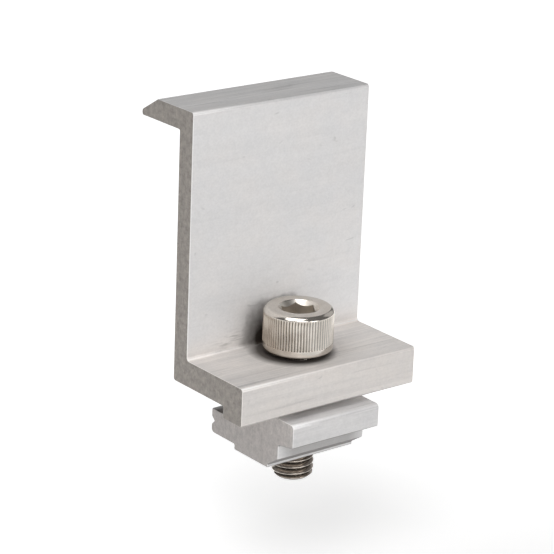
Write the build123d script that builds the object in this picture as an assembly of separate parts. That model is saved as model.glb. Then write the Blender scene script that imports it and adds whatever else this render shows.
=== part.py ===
from build123d import *
import os
from math import pi, radians, tan

# End clamp for a framed solar module, with the socket head cap screw and the rail nut that hold it.
# X runs along the extruded clamp, +Y points to the module, +Z is up.
# The origin is on the screw's axis, midway along the clamp, level with the top of the rail.

# Clamp extrusion
clamp_length = 40.0
web_thickness = 4.0
flange_thickness = 5.0
flange_reach = 9.8  # from the screw's axis to the front face
leg_height = 2.3
leg_depth = 5.5
frame_height = 49.5  # from the rail to the underside of the lip
lip_thickness = 4.0
lip_reach = 11.5  # from the back of the web to the nose
bevel_length = 4.75  # of the lip's sloped nose, along Y
nose_height = 1.1
outer_radius = 0.6
nose_radius = 0.5
root_radius = 0.6  # where the web meets the flange
seat_radius = 0.3  # where the web meets the lip, against the module's frame

# Cap screw, M8 x 25
thread_diameter = 7.9
thread_pitch = 1.25
screw_length = 25.0
head_diameter = 13.0
head_height = 8.0
head_round = 0.7
head_foot_round = 0.6
plain_band = 1.5  # height of the head's smooth foot, below the knurl
knurl_ribs = 74
knurl_depth = 0.2
knurl_land = 0.15  # width left at the crest of each rib
knurl_margin = 0.1  # between the ribs and the rounded rim above them
key_size = 6.0
key_angle = 3.0  # about Z, as the screw stands
socket_depth = 4.3
socket_lead = 0.9  # chamfer round the socket's mouth
drill_point = 118.0  # degrees, of the hole that the socket is broached in

# Rail nut extrusion
nut_length = 20.0
nut_width = 24.2
nut_height = 10.55
wing_thickness = 4.4  # at the front wing's edge
wing_root = 5.15  # at the front wing's root
wing_overhang = 4.15
rear_drop = 4.65  # from the nut's top to the rear wing's top
rear_step = 6.5  # from the nut's middle to the face above the rear wing
rear_thickness = 4.85
pad_width = 10.0
pad_chamfer_top = 7.95  # below the nut's top, where the front face turns in to the pad
pad_lip = 0.65  # height of the pad's front edge
notch_depth = 0.8
notch_width = 1.6
nut_round = 0.8
nut_edge_round = 0.3
bore_chamfer = 0.6

# Clearances
head_gap = 0.3  # between the head and the web
screw_lift = 0.7  # the screw is loose, with its head this far above the flange
hole_gap = 0.25  # round the screw, in the flange
hole_chamfer = 0.4
thread_gap = 0.05  # round the screw, in the nut
nut_gap = 1.15  # between the leg and the nut's front wing

# Places that the pieces share
flange_bottom = leg_height
flange_top = flange_bottom + flange_thickness
web_front = head_diameter / 2 + head_gap
web_back = web_front + web_thickness
lip_bottom = frame_height
lip_top = lip_bottom + lip_thickness
screw_radius = thread_diameter / 2
head_radius = head_diameter / 2
head_bottom = flange_top + screw_lift
head_top = head_bottom + head_height
screw_tip = head_bottom - screw_length
nut_top = -nut_gap
nut_bottom = nut_top - nut_height


def outline(corners):
    """Closed face from (across, up, radius) corners; a radius of 0 leaves the corner sharp."""
    points = [(across, up) for across, up, _ in corners]
    radii = [radius for _, _, radius in corners]
    return make_face(FilletPolyline(*points, radius=radii, close=True))


def extrusion(corners, length):
    """Bar of the outline in the YZ plane, centred on the screw along X."""
    return extrude(Plane.YZ * outline(corners), amount=length / 2, both=True)


def mouth_chamfer(body, radius, height, size):
    """Chamfers the rim of a round hole about the Z axis at the given height."""
    rims = body.edges().filter_by(GeomType.CIRCLE)
    rims = [rim for rim in rims if abs(rim.radius - radius) < 1e-6]
    rims = [rim for rim in rims if abs(rim.center().Z - height) < 1e-6]
    return chamfer(rims, length=size)


def make_clamp_body():
    front = -flange_reach
    nose = web_back + lip_reach
    body = extrusion(
        [
            (front, 0, nose_radius),
            (front + leg_depth, 0, nose_radius),
            (front + leg_depth, flange_bottom, 0),
            (web_back, flange_bottom, outer_radius),
            (web_back, lip_bottom, seat_radius),
            (nose, lip_bottom, nose_radius),
            (nose, lip_bottom + nose_height, nose_radius),
            (nose - bevel_length, lip_top, nose_radius),
            (web_front, lip_top, outer_radius),
            (web_front, flange_top, root_radius),
            (front, flange_top, outer_radius),
        ],
        clamp_length,
    )
    hole_radius = screw_radius + hole_gap
    body -= Cylinder(hole_radius, flange_top, align=(Align.CENTER, Align.CENTER, Align.MIN))
    return mouth_chamfer(body, hole_radius, flange_top, hole_chamfer)


def make_socket():
    """Hexagonal key socket with its chamfered mouth and the drill point below it."""
    hexagon = RegularPolygon(key_size / 2, 6, major_radius=False, rotation=key_angle)
    socket = extrude(Plane.XY.offset(head_top) * hexagon, amount=-socket_depth)
    mouth_radius = key_size / 2 + socket_lead
    mouth = Cone(0, mouth_radius, mouth_radius, align=(Align.CENTER, Align.CENTER, Align.MAX))
    drill_radius = key_size / 2
    drill_depth = drill_radius / tan(radians(drill_point / 2))
    drill = Cone(0, drill_radius, drill_depth, align=(Align.CENTER, Align.CENTER, Align.MAX))
    return socket + Pos(0, 0, head_top) * mouth + Pos(0, 0, head_top - socket_depth) * drill


def make_knurl_grooves():
    """V grooves down the side of the head, between its smooth foot and its rounded rim."""
    rib_pitch = pi * head_diameter / knurl_ribs
    groove_half = (rib_pitch - knurl_land) / 2
    groove_length = head_height - plain_band - head_round - knurl_margin
    root = (head_radius - knurl_depth, 0)
    outside = head_radius + knurl_depth
    flank = 2 * groove_half
    section = make_face(Polyline(root, (outside, flank), (outside, -flank), close=True))
    base = Plane.XY.offset(head_bottom + plain_band)
    groove = extrude(base * section, amount=groove_length)
    return PolarLocations(0, knurl_ribs) * groove


def make_cap_screw():
    crest_depth = 0.61 * thread_pitch
    tip_radius = screw_radius - crest_depth
    half_section = outline(
        [
            (0, screw_tip, 0),
            (tip_radius, screw_tip, 0),
            (screw_radius, screw_tip + crest_depth, 0),
            (screw_radius, head_bottom, 0),
            (head_radius, head_bottom, head_foot_round),
            (head_radius, head_top, head_round),
            (0, head_top, 0),
        ]
    )
    screw = revolve(Plane.XZ * half_section, Axis.Z)
    screw -= make_knurl_grooves()
    return screw - make_socket()


def make_rail_nut():
    edge = nut_width / 2
    pad = pad_width / 2
    notch = nut_top - rear_drop - rear_thickness / 2
    rear_bottom = nut_top - rear_drop - rear_thickness
    nut = extrusion(
        [
            (-edge, nut_top, nut_round),
            (rear_step, nut_top, nut_edge_round),
            (rear_step, nut_top - rear_drop, nut_edge_round),
            (edge, nut_top - rear_drop, nut_edge_round),
            (edge, notch + notch_width / 2, 0),
            (edge - notch_depth, notch, 0),
            (edge, notch - notch_width / 2, 0),
            (edge, rear_bottom, nut_round),
            (pad, rear_bottom, nut_edge_round),
            (pad, nut_bottom, nut_edge_round),
            (-pad, nut_bottom, 0),
            (-pad, nut_bottom + pad_lip, 0),
            (wing_overhang - edge, nut_top - pad_chamfer_top, nut_edge_round),
            (wing_overhang - edge, nut_top - wing_root, nut_edge_round),
            (-edge, nut_top - wing_thickness, nut_edge_round),
        ],
        nut_length,
    )
    bore_radius = screw_radius + thread_gap
    bore = Cylinder(bore_radius, nut_height, align=(Align.CENTER, Align.CENTER, Align.MAX))
    nut -= Pos(0, 0, nut_top) * bore
    nut = mouth_chamfer(nut, bore_radius, nut_top, bore_chamfer)
    return mouth_chamfer(nut, bore_radius, nut_bottom, bore_chamfer)


os.makedirs("parts", exist_ok=True)
export_step(make_clamp_body(), "parts/clamp_body.step")
export_step(make_cap_screw(), "parts/cap_screw.step")
export_step(make_rail_nut(), "parts/rail_nut.step")
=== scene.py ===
"""Looks of the solar end clamp: mill-finish aluminium, a knurled and threaded screw, soft studio light."""

from math import cos, hypot, pi, radians, sin, tan

import bpy
import numpy as np
from mathutils import Matrix, Vector


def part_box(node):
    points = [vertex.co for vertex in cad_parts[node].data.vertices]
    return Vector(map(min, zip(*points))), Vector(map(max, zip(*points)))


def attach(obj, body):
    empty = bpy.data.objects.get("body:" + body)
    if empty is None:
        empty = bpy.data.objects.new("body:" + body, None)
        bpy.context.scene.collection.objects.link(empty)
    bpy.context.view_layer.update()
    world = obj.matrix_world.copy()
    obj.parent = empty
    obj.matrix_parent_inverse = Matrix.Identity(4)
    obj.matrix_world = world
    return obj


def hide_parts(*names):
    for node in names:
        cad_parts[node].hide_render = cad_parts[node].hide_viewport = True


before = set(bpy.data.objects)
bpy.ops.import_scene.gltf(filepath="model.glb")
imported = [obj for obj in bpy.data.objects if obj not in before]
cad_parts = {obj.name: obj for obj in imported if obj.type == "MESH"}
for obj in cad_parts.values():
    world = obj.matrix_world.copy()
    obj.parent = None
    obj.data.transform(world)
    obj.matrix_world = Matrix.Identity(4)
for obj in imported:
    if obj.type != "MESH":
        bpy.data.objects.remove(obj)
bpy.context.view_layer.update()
MM = 0.001

# Camera, fitted to the photograph's straight edges
CAMERA_PLACE = Vector((-0.2616, -0.3201, 0.1648))
CAMERA_AZIMUTH = radians(-38.67)
CAMERA_ELEVATION = radians(19.125)
CAMERA_ROLL = radians(2.26)
CAMERA_LENS = 157.12
SENSOR_WIDTH = 36.0

# Clamp
clamp_low, clamp_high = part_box("clamp_body")
LIP_TOP = clamp_high.z
FLANGE_TOP = 7.3 * MM
WEB_FRONT = 6.8 * MM
SCUFFS_X, SCUFFS_Z = -10.5 * MM, 9.2 * MM  # on the web's front, left of the screw's head

# Rail nut
nut_low, nut_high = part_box("rail_nut")
NUT_TOP = nut_high.z
NUT_EDGE = nut_high.y

# Screw, from its solid's box and its standard sizes
screw_low, screw_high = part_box("cap_screw")
HEAD_RADIUS = screw_high.x
HEAD_TOP = screw_high.z
SCREW_TIP = screw_low.z
HEAD_BOTTOM = HEAD_TOP - 8.0 * MM
HEAD_RIM_WIDTH = 1.0 * MM
HEAD_RIM_TILT = (radians(28), radians(66))  # how far the crowned rim's faces lean, bottom and top
HEAD_FOOT_ROUND = 0.6 * MM
PLAIN_BAND = 1.5 * MM
KNURL_RIBS = 74
KNURL_DEPTH = 0.2 * MM
KNURL_LAND = 0.27  # share of each rib's pitch that is left at its crest
KEY_SIZE = 6.0 * MM
KEY_ANGLE = radians(3.0)
SOCKET_DEPTH = 4.3 * MM
SOCKET_MOUTH = KEY_SIZE / 2 + 0.9 * MM
DRILL_POINT = radians(118.0)
THREAD_RADIUS = 3.88 * MM
THREAD_PITCH = 1.25 * MM
THREAD_DEPTH = 0.61 * THREAD_PITCH
THREAD_CREST = 0.25  # how round the crest is, in half pitches
THREAD_RINGS_PER_TURN = 20
HEAD_POINTS = 6 * KNURL_RIBS  # in each ring
SHANK_POINTS = HEAD_POINTS // 4

# Studio, where a lamp's azimuth is measured from the front to the right
FLOOR_DROP = 14.0 * MM  # below the screw's tip
FLOOR_HALF = 12.0
GLOW_NEAR, GLOW_FAR = 0.17, 0.74  # of the floor, near the middle of the lit patch and away from it
LIT_PATCH_Y = -0.12
WORLD_LEVEL = 0.15
LAMP_TARGET = Vector((0, 0, 0.015))
LAMP_DISTANCE = 0.8
LAMPS = {  # azimuth, elevation, size, watts
    "key_lamp": (-24, 32, 0.4, 1.3),
    "low_lamp": (10, 10, 0.35, 1.3),
    "left_lamp": (-45, 30, 0.45, 0.1),
    "overhead_lamp": (-58, 64, 0.6, 2.9),
    "rear_lamp": (150, 12, 0.5, 1.2),
    "right_lamp": (95, 25, 0.5, 0.3),
}


def srgb(red, green, blue):
    """Linear colour of an sRGB colour given in 0 to 255."""
    values = [channel / 255 for channel in (red, green, blue)]
    return [v / 12.92 if v <= 0.04045 else ((v + 0.055) / 1.055) ** 2.4 for v in values] + [1.0]


# Colour of the painted shade, and of the clamp's dirt and scuffs
SHADE_AND_GRIME_COLOUR = srgb(62, 52, 44)
# Colour of the painted dark reflection on the screw head's rear-left side
SCREW_SHADED_SIDE_COLOUR = srgb(150, 136, 120)
SCREW_HEAD = srgb(213, 206, 197), srgb(226, 220, 212)
SCREW_THREAD = srgb(182, 173, 164), srgb(202, 193, 184)


class Nodes:
    """Short calls for building one material's nodes."""

    def __init__(self, name):
        self.material = bpy.data.materials.new(name)
        self.material.use_nodes = True
        self.tree = self.material.node_tree
        self.shader = self.tree.nodes["Principled BSDF"]

    def add(self, kind, **settings):
        node = self.tree.nodes.new(kind)
        for key, value in settings.items():
            setattr(node, key, value)
        return node

    def link(self, source, target):
        self.tree.links.new(source, target)

    def put(self, socket, value):
        """Sets a socket to a number or links another socket to it."""
        if isinstance(value, bpy.types.NodeSocket):
            self.link(value, socket)
        else:
            socket.default_value = value

    def math(self, operation, a, b=0.0):
        node = self.add("ShaderNodeMath", operation=operation)
        self.put(node.inputs[0], a)
        self.put(node.inputs[1], b)
        return node.outputs[0]

    def sum(self, *values):
        total = values[0]
        for value in values[1:]:
            total = self.math("ADD", total, value)
        return total

    def times(self, *values):
        product = values[0]
        for value in values[1:]:
            product = self.math("MULTIPLY", product, value)
        return product

    def distance(self, a, b):
        """Length of the line with these two parts at a right angle."""
        return self.math("SQRT", self.sum(self.times(a, a), self.times(b, b)))

    def absolute(self, value):
        """The value without its sign."""
        return self.math("ABSOLUTE", value)

    def blend(self, factor, a, b):
        node = self.add("ShaderNodeMix", data_type="FLOAT")
        self.put(node.inputs["Factor"], factor)
        self.put(node.inputs["A"], a)
        self.put(node.inputs["B"], b)
        return node.outputs["Result"]

    def mix(self, factor, a, b):
        node = self.add("ShaderNodeMix", data_type="RGBA")
        self.put(node.inputs["Factor"], factor)
        self.put(node.inputs["A"], a)
        self.put(node.inputs["B"], b)
        return node.outputs["Result"]

    def shade(self, colour, level):
        """The colour, made lighter or darker by a level around 1."""
        node = self.add("ShaderNodeVectorMath", operation="SCALE")
        is_linked = isinstance(colour, bpy.types.NodeSocket)
        self.put(node.inputs["Vector"], colour if is_linked else colour[:3])
        self.put(node.inputs["Scale"], level)
        return node.outputs["Vector"]

    def ramp(self, value, low, high, at_low=0.0, at_high=1.0):
        node = self.add("ShaderNodeMapRange", clamp=True)
        self.put(node.inputs["Value"], value)
        for key, number in (("From Min", low), ("From Max", high), ("To Min", at_low), ("To Max", at_high)):
            node.inputs[key].default_value = number
        return node.outputs["Result"]

    def band(self, value, rise, fall):
        """1 between a rise and a fall, each given by the values where it starts and ends."""
        return self.times(self.ramp(value, *rise), self.ramp(value, *fall, 1.0, 0.0))

    def spread(self, value, reach):
        """The middle of a noise, spread evenly from -reach to reach."""
        return self.ramp(value, 0.3, 0.7, -reach, reach)

    def place(self, scale=(1, 1, 1), offset=(0, 0, 0), turn=(0, 0, 0)):
        """Object coordinates in millimetres, scaled per axis."""
        coordinates = self.add("ShaderNodeTexCoord")
        mapping = self.add("ShaderNodeMapping", vector_type="POINT")
        mapping.inputs["Scale"].default_value = [s / MM for s in scale]
        mapping.inputs["Location"].default_value = offset
        mapping.inputs["Rotation"].default_value = turn
        self.link(coordinates.outputs["Object"], mapping.inputs["Vector"])
        return mapping.outputs["Vector"]

    def noise(self, vector, detail=3.0, roughness=0.5, distortion=0.0):
        node = self.add("ShaderNodeTexNoise")
        self.link(vector, node.inputs["Vector"])
        settings = {"Scale": 1.0, "Detail": detail, "Roughness": roughness, "Distortion": distortion}
        for key, number in settings.items():
            node.inputs[key].default_value = number
        return node.outputs["Fac"]

    def parts(self, kind):
        """X, Y and Z of the object's own coordinates or normal."""
        node = self.add("ShaderNodeSeparateXYZ")
        self.link(self.add("ShaderNodeTexCoord").outputs[kind], node.inputs[0])
        return [node.outputs[axis] for axis in "XYZ"]

    def bump(self, height, distance):
        node = self.add("ShaderNodeBump")
        node.inputs["Strength"].default_value = 1.0
        node.inputs["Distance"].default_value = distance
        self.link(height, node.inputs["Height"])
        self.link(node.outputs["Normal"], self.shader.inputs["Normal"])


def seat_shade_and_grime(n):
    """How much the clamp is darkened: painted shadow of the screw's head on the web and painted contact shade
    round its foot, with some dirt, real scuffs beside the head, and painted shade on the lip's top.
    """
    x, y, z = n.parts("Object")
    web_front = n.band(
        y,
        (WEB_FRONT - 1.2 * MM, WEB_FRONT - 0.2 * MM),
        (WEB_FRONT + 0.4 * MM, WEB_FRONT + 0.8 * MM),
    )

    # Corner: painted shadow of the head on the web behind it and painted contact shade in a ring round its foot,
    # with some dirt
    ragged = n.spread(n.noise(n.place((0.5, 0.5, 0.5), (3, 3, 3)), detail=4.0), 0.08)
    aside = n.ramp(n.absolute(x), 2.5 * MM, 9.0 * MM)
    above = n.ramp(z, FLANGE_TOP, FLANGE_TOP + 9.9 * MM)
    on_web = n.times(n.ramp(n.sum(n.distance(aside, above), ragged), 0.3, 0.9, 1.0, 0.0), web_front)
    from_seat = n.distance(n.sum(x, 0.5 * MM), n.sum(y, -0.8 * MM))
    on_flange = n.times(
        n.ramp(from_seat, 6.4 * MM, 8.6 * MM, 0.9, 0.0),
        n.ramp(z, FLANGE_TOP + 0.2 * MM, FLANGE_TOP + 0.7 * MM, 1.0, 0.0),
    )
    corner = n.times(
        n.math("MAXIMUM", on_web, on_flange),
        n.ramp(z, FLANGE_TOP - 1.3 * MM, FLANGE_TOP - 0.3 * MM),
    )

    streaks = n.ramp(n.noise(n.place((0.28, 1, 2.2), (6, 0, 5))), 0.52, 0.66)
    across = n.ramp(n.absolute(n.sum(x, -SCUFFS_X)), 1.5 * MM, 5.0 * MM, 1.0, 0.0)
    along = n.ramp(n.absolute(n.sum(z, -SCUFFS_Z)), 0.8 * MM, 2.4 * MM, 1.0, 0.0)
    scuffs = n.times(streaks, web_front, across, across, along)
    # Painted shade: the lip's top made darker
    lip_top_shade = n.ramp(z, LIP_TOP - 0.6 * MM, LIP_TOP - 0.1 * MM, 0.0, 0.18)
    return n.sum(n.times(corner, 0.98), n.times(scuffs, 0.28), lip_top_shade)


def nut_shade(n):
    """Painted shade on the nut: on its downward faces, in the jaw over its rear wing, in its notch and under the
    front wing.
    """
    x, y, z = n.parts("Object")
    painted_shade = n.ramp(n.parts("Normal")[2], -0.1, -0.5, 0.0, 0.6)
    jaw = (NUT_EDGE - 5.6 * MM, NUT_TOP - 4.65 * MM, 3.8 * MM, 6.6 * MM, 0.88)
    notch = (NUT_EDGE - 0.8 * MM, NUT_TOP - 7.08 * MM, 0.3 * MM, 1.0 * MM, 0.6)
    for centre_y, centre_z, inner, outer, most in (jaw, notch):
        away = n.distance(n.sum(y, -centre_y), n.sum(z, -centre_z))
        painted_shade = n.math("MAXIMUM", painted_shade, n.ramp(away, inner, outer, most, 0.0))
    # Painted shade under the front wing, fading out towards the nut's ends
    under_wing = n.times(
        n.ramp(n.absolute(x), 6.5 * MM, 9.5 * MM, 0.32, 0.0),
        n.band(z, (NUT_TOP - 8.3 * MM, NUT_TOP - 7.9 * MM), (NUT_TOP - 4.9 * MM, NUT_TOP - 4.5 * MM)),
        n.band(y, (0.6 * MM - NUT_EDGE, 1.2 * MM - NUT_EDGE), (-1.0 * MM, 0.0)),
    )
    return n.math("MAXIMUM", painted_shade, under_wing)


def aluminium(name, face_colour, warmth, end_colour, end_contrast, seed, shade_and_grime):
    """Mill-finish extrusion: die lines along X, handling marks, saw-cut ends, painted highlights on its edges
    (the sawn ones partly wear), painted light on upward faces and on the web's foot, and painted shade mixed
    with dirt.
    """
    n = Nodes(name)
    z = n.parts("Object")[2]
    normal_x, normal_y, normal_z = n.parts("Normal")
    sideways = n.absolute(normal_x)
    end = n.ramp(sideways, 0.80, 0.97)
    up = n.ramp(normal_z, 0.5, 0.9)
    low = n.ramp(z, 7 * MM, 12 * MM, 1.0, 0.25)  # the nut and the flange, but not the web

    # Marks on the drawn faces
    fine_lines = n.noise(n.place((0.03, 3.2, 3.2), (seed, 0, 0)), detail=4.0, roughness=0.65)
    broad_lines = n.noise(n.place((0.02, 0.7, 0.7), (seed, 5, 1)), roughness=0.6)
    draw_marks = n.ramp(n.noise(n.place((0.05, 1.0, 1.0), (seed, 7, 2))), 0.60, 0.72)
    cloud = n.noise(n.place((0.10, 0.13, 0.13), (seed, 2, 7)), detail=4.0, roughness=0.6)
    mottle = n.noise(n.place((0.7, 0.8, 0.8), (seed, 4, 9)), roughness=0.6)
    grain = n.noise(n.place((2.2, 2.6, 2.6), (seed, 9, 3)), detail=2.0)
    nick_path = n.place((0.30, 0.75, 0.75), (seed, 4, 4), (0, radians(12), 0))
    nicks = n.ramp(n.noise(nick_path, detail=1.0, distortion=0.8), 0.72, 0.80)
    lines = n.sum(n.spread(fine_lines, 0.035), n.spread(broad_lines, 0.05), n.times(draw_marks, -0.11))

    # Edges with painted highlights, the sawn edges (partly wear) and the upper front edges, and painted shade
    # under the lower rounded edges
    sawn_edge = n.band(sideways, (0.08, 0.3), (0.8, 0.97))
    upper_edge = n.times(n.ramp(normal_y, -0.4, -0.65), n.ramp(normal_z, 0.4, 0.65))
    lower_edge = n.times(n.ramp(normal_z, -0.15, -0.45), n.ramp(normal_z, -0.97, -0.85))

    level = n.sum(
        n.times(lines, n.math("MAXIMUM", low, up), n.ramp(up, 0.0, 1.0, 1.0, 1.7)),
        n.times(n.spread(cloud, 0.03), n.ramp(up, 0.0, 1.0, 1.0, 2.0)),
        n.spread(mottle, 0.02),
        n.spread(grain, 0.03),
        n.times(nicks, -0.14),
        # Painted highlights on the edges, and painted shade under the lower ones
        n.times(sawn_edge, 0.25),
        n.times(upper_edge, 0.2),
        n.times(lower_edge, -0.3),
        # Painted light: the upward faces of the nut and flange made lighter
        n.times(up, low, 0.07),
        # Painted light: the web made lighter towards its foot, against the shade there
        n.times(n.ramp(z, 12 * MM, 34 * MM, 0.09, 0.0), n.ramp(z, 7.5 * MM, 9 * MM)),
        1.0,
    )
    warm = n.sum(n.ramp(cloud, 0.4, 0.65, 0.0, 0.25), low, -0.25)
    warm_colour = [face_colour[0], face_colour[1] * (1 - warmth / 2), face_colour[2] * (1 - warmth), 1]
    clean = n.shade(n.mix(warm, face_colour, warm_colour), level)
    # Painted shade, with the clamp's dirt and scuffs, mixed over the faces
    face = n.mix(shade_and_grime(n), clean, SHADE_AND_GRIME_COLOUR)

    # Saw-cut ends
    saw_path = n.place((1.0, 2.4, 0.3), (seed, 3, 2), (radians(14), 0, 0))
    saw_lines = n.noise(saw_path, detail=4.0, roughness=0.6)
    blotch = n.noise(n.place((0.7, 0.8, 0.8), (seed, 8, 8)), detail=4.0, roughness=0.6)
    speck = n.noise(n.place((2.4, 2.4, 2.4), (seed, 2, 5)), detail=2.0)
    burr_path = n.place((1, 1.5, 0.4), (seed, 6, 1), (radians(-35), 0, 0))
    burr = n.ramp(n.noise(burr_path, detail=2.0), 0.70, 0.78)
    end_level = n.sum(
        n.spread(saw_lines, 0.08 * end_contrast),
        n.spread(blotch, 0.26 * end_contrast),
        n.spread(speck, 0.13 * end_contrast),
        n.times(burr, 0.25),
        1.0,
    )
    sawn = n.shade(end_colour, end_level)

    n.link(n.mix(end, face, sawn), n.shader.inputs["Base Color"])
    n.shader.inputs["Metallic"].default_value = 0.5
    face_roughness = n.sum(n.ramp(fine_lines, 0.3, 0.7, 0.62, 0.68), n.spread(cloud, 0.03))
    end_roughness = n.ramp(blotch, 0.3, 0.7, 0.60, 0.70)
    n.link(n.blend(end, face_roughness, end_roughness), n.shader.inputs["Roughness"])
    face_relief = n.sum(n.times(fine_lines, low), n.times(grain, 0.5), n.times(nicks, -0.6))
    end_relief = n.times(n.sum(blotch, speck), 1.2)
    n.bump(n.blend(end, face_relief, end_relief), 0.01 * MM)
    return n.material


def stainless():
    """Bright turned head with a dull socket, painted shade in its knurl grooves, a painted highlight on their
    crests and a painted dark reflection on its rear-left side, and a darker rolled thread below it with painted
    shade in its roots.
    """
    n = Nodes("stainless_steel")
    x, y, z = n.parts("Object")
    from_axis = n.distance(x, y)
    cloud = n.noise(n.place((0.5, 0.5, 0.5)))
    mottle = n.ramp(cloud, 0.35, 0.65)
    head = n.ramp(z, HEAD_BOTTOM - 1.0 * MM, HEAD_BOTTOM)

    # Head's side, with painted shade in the knurl grooves, a painted highlight on the crests and a painted dark
    # reflection on the rear-left, towards the shaded corner
    side = n.times(
        n.ramp(z, HEAD_TOP - 1.1 * MM, HEAD_TOP - 0.8 * MM, 1.0, 0.0),
        n.ramp(from_axis, HEAD_RADIUS - 0.5 * MM, HEAD_RADIUS - 0.3 * MM),
    )
    groove = n.times(n.ramp(from_axis, HEAD_RADIUS - 0.17 * MM, HEAD_RADIUS - 0.03 * MM, 1.0, 0.0), side)
    crest = n.ramp(from_axis, HEAD_RADIUS - 0.06 * MM, HEAD_RADIUS - 0.01 * MM, 0.0, 0.08)
    knurled = n.shade(n.mix(mottle, *SCREW_HEAD), n.sum(n.ramp(groove, 0.0, 1.0, 1.0, 0.5), crest))
    # Painted dark reflection on the rear-left of the head's side
    rear_left = n.sum(n.times(x, -0.95), n.times(y, 0.3))
    rear_left_shade = n.times(n.ramp(rear_left, 2.5 * MM, 6.0 * MM, 0.0, 0.6), side)
    head_colour = n.mix(rear_left_shade, knurled, SCREW_SHADED_SIDE_COLOUR)

    # Painted shade in the thread's roots
    root = n.ramp(from_axis, THREAD_RADIUS - 0.65 * MM, THREAD_RADIUS - 0.25 * MM, 0.3, 1.0)
    thread_colour = n.shade(n.mix(mottle, *SCREW_THREAD), root)
    n.link(n.mix(head, thread_colour, head_colour), n.shader.inputs["Base Color"])
    n.shader.inputs["Metallic"].default_value = 1.0

    socket = n.times(
        n.ramp(z, HEAD_TOP - 0.25 * MM, HEAD_TOP - 0.05 * MM, 1.0, 0.0),
        n.ramp(from_axis, SOCKET_MOUTH - 0.05 * MM, SOCKET_MOUTH + 0.05 * MM, 1.0, 0.0),
    )
    head_roughness = n.blend(socket, n.ramp(cloud, 0.3, 0.7, 0.13, 0.20), 0.36)
    n.link(n.blend(head, 0.2, head_roughness), n.shader.inputs["Roughness"])
    n.bump(n.noise(n.place((3.0, 3.0, 3.0)), detail=2.0), 0.004 * MM)
    return n.material


def arc(centre, radius, start, end, steps):
    """Points of an arc in the (radius, height) plane, both ends included."""
    angles = [start + (end - start) * i / steps for i in range(steps + 1)]
    return [(centre[0] + radius * cos(a), centre[1] + radius * sin(a)) for a in angles]


def knurl_share(angle):
    """How deep the knurl is at an angle, from 0 at a rib's crest to 1 in a groove."""
    phase = abs((angle * KNURL_RIBS / (2 * pi)) % 1.0 - 0.5) * 2
    return max(0.0, (1.0 - phase) - KNURL_LAND) / (1.0 - KNURL_LAND)


def hexagon_radius(angle):
    """Distance from the axis to the socket's wall."""
    side = (angle - KEY_ANGLE) % radians(60)
    return KEY_SIZE / 2 / cos(side - radians(30))


def thread_radius(angle, height):
    """Radius of the right-hand thread, with its chamfered tip."""
    phase = ((height - SCREW_TIP) / THREAD_PITCH - angle / (2 * pi)) % 1.0
    from_crest = abs(phase - 0.5) * 2
    share = (hypot(from_crest, THREAD_CREST) - THREAD_CREST) / (hypot(1, THREAD_CREST) - THREAD_CREST)
    tip = THREAD_RADIUS - THREAD_DEPTH + (height - SCREW_TIP)
    return min(THREAD_RADIUS - THREAD_DEPTH * share, tip)


def ring(count, radius, height):
    """Points round the screw's axis, whose radius and height are numbers or change with the angle."""
    points = []
    for i in range(count):
        angle = KEY_ANGLE + 2 * pi * i / count
        r = radius(angle) if callable(radius) else radius
        h = height(angle) if callable(height) else height
        points.append((r * cos(angle), r * sin(angle), h))
    return points


def shank_rings():
    """Rings of the threaded shank, from its tip to the head."""
    rings = [ring(SHANK_POINTS, share * (THREAD_RADIUS - THREAD_DEPTH), SCREW_TIP) for share in (0.3, 0.7)]
    length = HEAD_BOTTOM - SCREW_TIP
    levels = int(length / THREAD_PITCH * THREAD_RINGS_PER_TURN)
    for i in range(levels + 1):
        height = SCREW_TIP + length * i / levels
        rings.append(ring(SHANK_POINTS, lambda angle, h=height: thread_radius(angle, h), height))
    return rings


def head_rings():
    """Rings of the head, from its foot up its knurled side and over its crowned rim to the socket's mouth."""
    foot_centre = HEAD_RADIUS - HEAD_FOOT_ROUND, HEAD_BOTTOM + HEAD_FOOT_ROUND
    foot = arc(foot_centre, HEAD_FOOT_ROUND, -pi / 2, 0, 7)
    first_tilt, last_tilt = HEAD_RIM_TILT
    crown = HEAD_RIM_WIDTH / (2 * sin((last_tilt - first_tilt) / 2))
    crown_centre = HEAD_RADIUS - crown * cos(first_tilt), HEAD_TOP - crown * sin(last_tilt)
    rim = arc(crown_centre, crown, first_tilt, last_tilt, 8)
    rim_bottom, rim_inner = rim[0][1], rim[-1][0]

    start, end = HEAD_BOTTOM + PLAIN_BAND, rim_bottom - 0.1 * MM
    full, fading = start + 0.02 * MM, end - 0.12 * MM  # between them, the grooves have their full depth
    knurl = [(start, 0), (full, 1)]
    knurl += [(full + (fading - full) * i / 8, 1) for i in range(1, 9)]
    knurl += [(end - 0.06 * MM, 0.6), (end, 0)]

    rings = [ring(HEAD_POINTS, THREAD_RADIUS + 0.3 * MM, HEAD_BOTTOM)]
    rings += [ring(HEAD_POINTS, radius, height) for radius, height in foot]
    for height, share in knurl:
        depth = KNURL_DEPTH * share
        rings.append(ring(HEAD_POINTS, lambda a, d=depth: HEAD_RADIUS - d * knurl_share(a), height))
    rings += [ring(HEAD_POINTS, radius, height) for radius, height in rim]
    for radius in (rim_inner - 0.08 * MM, (rim_inner + SOCKET_MOUTH) / 2, SOCKET_MOUTH + 0.12 * MM):
        rings.append(ring(HEAD_POINTS, radius, HEAD_TOP))
    return rings


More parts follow.
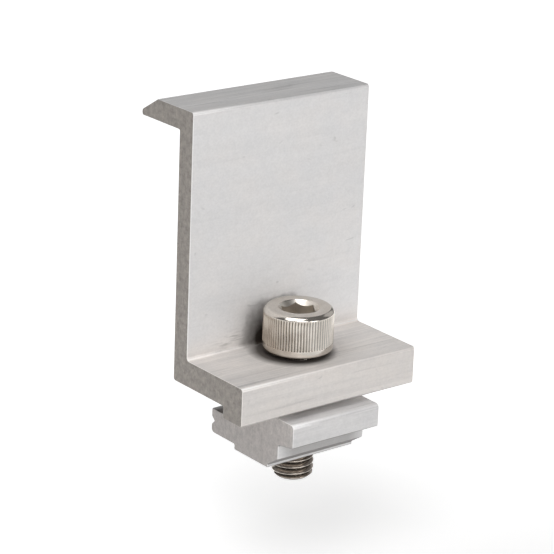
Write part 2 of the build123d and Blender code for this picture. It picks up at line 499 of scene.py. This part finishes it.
def socket_rings():
    """Rings of the socket, down its lead cone, its hexagonal walls and the drill's point."""
    rings = []
    for share in (0.04, 1.0):
        rings.append(
            ring(
                HEAD_POINTS,
                lambda a, s=share: SOCKET_MOUTH + (hexagon_radius(a) - SOCKET_MOUTH) * s,
                lambda a, s=share: HEAD_TOP - (SOCKET_MOUTH - hexagon_radius(a)) * s,
            )
        )
    floor = HEAD_TOP - SOCKET_DEPTH
    for share in (0.06, 0.5, 1.0):
        rings.append(
            ring(
                HEAD_POINTS,
                hexagon_radius,
                lambda a, s=share: (HEAD_TOP - SOCKET_MOUTH + hexagon_radius(a)) * (1 - s) + floor * s,
            )
        )
    drill = KEY_SIZE / 2
    for share in (1.0, 0.5, 0.1):
        rings.append(ring(HEAD_POINTS, drill * share, floor - drill * (1 - share) / tan(DRILL_POINT / 2)))
    return rings


def bridge(first, second, start_first, start_second):
    """Faces between two rings, where the second has as many points or a whole number of times more."""
    count_first, count_second = len(first), len(second)
    times = count_second // count_first
    faces = []
    for i in range(count_first):
        a, b = start_first + i, start_first + (i + 1) % count_first
        c, d = start_second + i * times, start_second + ((i + 1) * times) % count_second
        if times == 1:
            faces.append((a, b, d, c))
            continue
        faces.append((a, b, d))
        for j in range(times):
            faces.append((a, start_second + (i * times + j + 1) % count_second, start_second + i * times + j))
    return faces


def make_screw():
    """Screw with its thread and knurl, as one closed mesh that stands for the node cap_screw."""
    rings = shank_rings() + head_rings() + socket_rings()
    starts = [int(start) for start in np.cumsum([0] + [len(r) for r in rings])]
    points = [point for r in rings for point in r]
    faces = []
    for i in range(len(rings) - 1):
        faces += bridge(rings[i], rings[i + 1], starts[i], starts[i + 1])
    tip, hole = len(points), len(points) + 1
    points += [(0, 0, SCREW_TIP), (0, 0, rings[-1][0][2])]
    first, last = len(rings[0]), len(rings[-1])
    faces += [(tip, (i + 1) % first, i) for i in range(first)]
    faces += [(hole, starts[-2] + i, starts[-2] + (i + 1) % last) for i in range(last)]

    mesh = bpy.data.meshes.new("threaded_screw")
    mesh.from_pydata(points, [], faces)
    mesh.validate()
    mesh.shade_smooth()
    mesh.set_sharp_from_angle(angle=radians(32))
    mesh.materials.append(stainless())
    piece = bpy.data.objects.new("threaded_screw", mesh)
    bpy.context.scene.collection.objects.link(piece)
    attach(piece, "screw")
    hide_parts("cap_screw")


def dress(node, material):
    """Gives a node its material and finely broken edges."""
    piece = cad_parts[node]
    piece.data.materials.clear()
    piece.data.materials.append(material)
    weld = piece.modifiers.new("weld", "WELD")
    weld.merge_threshold = 0.001 * MM
    merge = piece.modifiers.new("flat_faces", "DECIMATE")
    merge.decimate_type = "DISSOLVE"
    merge.angle_limit = radians(0.5)
    bevel = piece.modifiers.new("broken_edge", "BEVEL")
    bevel.width = 0.18 * MM
    bevel.segments = 2
    bevel.limit_method = "ANGLE"
    bevel.angle_limit = radians(50)
    bevel.use_clamp_overlap = False
    bevel.harden_normals = True


def make_floor():
    """White floor that takes the clamp's shadow and looks white from all sides."""
    height, half = SCREW_TIP - FLOOR_DROP, FLOOR_HALF
    mesh = bpy.data.meshes.new("studio_floor")
    corners = [(x, y, height) for x, y in ((-half, -half), (half, -half), (half, half), (-half, half))]
    mesh.from_pydata(corners, [], [(0, 1, 2, 3)])
    floor = bpy.data.objects.new("studio_floor", mesh)
    bpy.context.scene.collection.objects.link(floor)

    n = Nodes("studio_floor")
    n.shader.inputs["Base Color"].default_value = (0.8, 0.8, 0.8, 1)
    n.shader.inputs["Roughness"].default_value = 0.9
    n.shader.inputs["Specular IOR Level"].default_value = 0.0
    path = n.add("ShaderNodeLightPath")
    mirrored = n.math("MAXIMUM", path.outputs["Is Glossy Ray"], path.outputs["Is Transmission Ray"])
    seen = n.math("MAXIMUM", path.outputs["Is Camera Ray"], mirrored)
    x, y, _ = n.parts("Object")
    from_lit_patch = n.distance(x, n.sum(y, -LIT_PATCH_Y))
    glow = n.ramp(from_lit_patch, 0.04, 0.18, GLOW_NEAR, GLOW_FAR)
    n.link(n.times(seen, glow), n.shader.inputs["Emission Strength"])
    n.shader.inputs["Emission Color"].default_value = (1, 1, 1, 1)
    mesh.materials.append(n.material)


def make_world():
    """Even white light from all sides."""
    world = bpy.data.worlds.new("studio")
    bpy.context.scene.world = world
    world.use_nodes = True
    background = world.node_tree.nodes["Background"]
    background.inputs["Color"].default_value = (1, 1, 1, 1)
    background.inputs["Strength"].default_value = WORLD_LEVEL


def direction(azimuth, elevation):
    """Unit vector from the clamp, at an azimuth from the front to the right."""
    flat = cos(elevation)
    return Vector((sin(azimuth) * flat, -cos(azimuth) * flat, sin(elevation)))


def make_lamp(name, azimuth, elevation, size, watts):
    """Soft box that faces the clamp."""
    light = bpy.data.lights.new(name, "AREA")
    light.shape = "SQUARE"
    light.size = size
    light.energy = watts
    lamp = bpy.data.objects.new(name, light)
    bpy.context.scene.collection.objects.link(lamp)
    away = direction(radians(azimuth), radians(elevation))
    lamp.location = LAMP_TARGET + away * LAMP_DISTANCE
    lamp.rotation_mode = "QUATERNION"
    lamp.rotation_quaternion = (-away).to_track_quat("-Z", "Y")


def make_camera():
    """Camera at the photograph's place and angle."""
    data = bpy.data.cameras.new("camera")
    data.sensor_width = SENSOR_WIDTH
    data.lens = CAMERA_LENS
    data.clip_start, data.clip_end = 0.01, 20.0
    camera = bpy.data.objects.new("camera", data)
    bpy.context.scene.collection.objects.link(camera)
    back = direction(CAMERA_AZIMUTH, CAMERA_ELEVATION)
    right = Vector((cos(CAMERA_AZIMUTH), sin(CAMERA_AZIMUTH), 0))
    up = back.cross(right)
    rolled_right = right * cos(CAMERA_ROLL) + up * sin(CAMERA_ROLL)
    rolled_up = up * cos(CAMERA_ROLL) - right * sin(CAMERA_ROLL)
    rotation = Matrix((rolled_right, rolled_up, back)).transposed()
    camera.matrix_world = Matrix.Translation(CAMERA_PLACE) @ rotation.to_4x4()
    bpy.context.scene.camera = camera


clamp_finish = aluminium(
    "clamp_aluminium",
    face_colour=srgb(226, 225, 225),
    warmth=0.08,
    end_colour=srgb(170, 164, 158),
    end_contrast=0.9,
    seed=0.0,
    shade_and_grime=seat_shade_and_grime,
)
nut_finish = aluminium(
    "nut_aluminium",
    face_colour=srgb(223, 223, 224),
    warmth=0.03,
    end_colour=srgb(202, 197, 194),
    end_contrast=0.6,
    seed=20.0,
    shade_and_grime=nut_shade,
)
dress("clamp_body", clamp_finish)
dress("rail_nut", nut_finish)
make_screw()
make_floor()
make_world()
for lamp_name, settings in LAMPS.items():
    make_lamp(lamp_name, *settings)
make_camera()
bpy.context.scene.view_settings.view_transform = "Standard"
